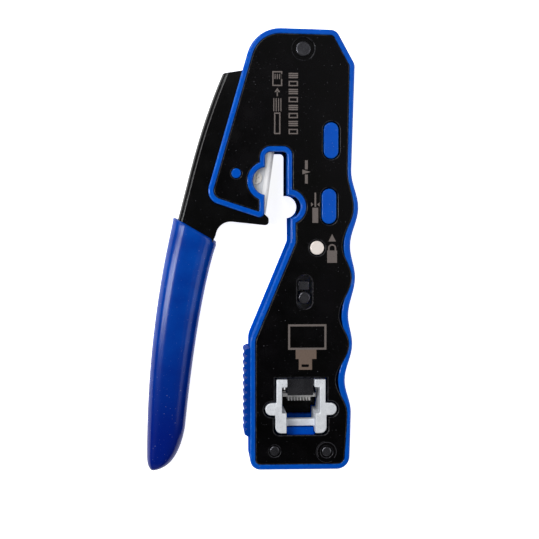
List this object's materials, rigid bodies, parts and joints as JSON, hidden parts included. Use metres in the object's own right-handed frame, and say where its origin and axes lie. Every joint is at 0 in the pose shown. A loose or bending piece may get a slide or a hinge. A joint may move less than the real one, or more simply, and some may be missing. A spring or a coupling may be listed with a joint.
{
  "type": "crimping tool",
  "caption": "Hand tool that cuts and strips cable, then crimps modular plugs: flat body between steel plates, side lever with sleeve, cable slot and plug nest.",
  "frame": {"origin": "centre of the outline at the rear face, which the tool lies on", "axes": "+X towards the finger grip, +Y towards the pivot end, +Z out of the front face"},
  "size_m": [0.071, 0.148, 0.02],
  "materials": {
    "black_paint": "semi-gloss black powder coat",
    "black_enamel": "glossy black enamel",
    "blue_plastic": "moulded glossy blue",
    "blue_rubber": "ribbed soft blue",
    "blue_vinyl": "dipped glossy vinyl",
    "black_steel": "blackened steel",
    "bright_steel": "ground steel",
    "polished_steel": "polished steel",
    "blade_steel": "ground and honed tool steel",
    "spring_steel": "drawn spring wire",
    "cast_zinc": "matt cast zinc"
  },
  "bodies": {
    "body": {"front_plate": "black_paint", "rear_plate": "black_paint", "front_casing": "blue_plastic", "rear_casing": "blue_plastic", "grip_pad": "blue_rubber", "pivot_pin": "black_steel", "pivot_bush": "bright_steel", "pivot_washers": "bright_steel", "lower_rivets": "black_steel", "die_block": "cast_zinc", "lock_ring": "spring_steel", "return_spring": "spring_steel", "spring_rod": "bright_steel"},
    "lever_arm": {"lever": "black_enamel", "lever_grip": "blue_vinyl", "cutter_blade": "blade_steel", "blade_screws": "bright_steel", "drive_pin": "bright_steel"},
    "crimp_slide": {"crimp_bar": "bright_steel", "guide_pin": "black_steel", "guide_key": "black_steel", "punch_holder": "black_steel", "contact_punch": "bright_steel", "punch_pin": "bright_steel", "trim_blade": "blade_steel", "trim_screws": "black_steel"},
    "lock": {"lock_pin": "polished_steel"}
  },
  "joints": [
    {"name": "lever_hinge", "type": "hinge", "parent": "body", "child": "lever_arm", "pos_m": [0.01698, 0.06705, 0.01], "axis": [0, 0, 1], "range_deg": [0, 8], "stiffness_Nm_per_rad": 0.15, "springref_deg": -14.32},
    {"name": "crimp_drive", "type": "slide", "parent": "body", "child": "crimp_slide", "axis": [0, -1, 0], "range_m": [0, 0.0012], "deforming": ["return_spring"]},
    {"name": "lock_push", "type": "slide", "parent": "body", "child": "lock", "axis": [0, 0, -1], "range_m": [0, 0.002]}
  ],
  "couplings": [
    {"joint": "crimp_drive", "follows": "lever_hinge", "m_per_rad": 0.008493}
  ]
}
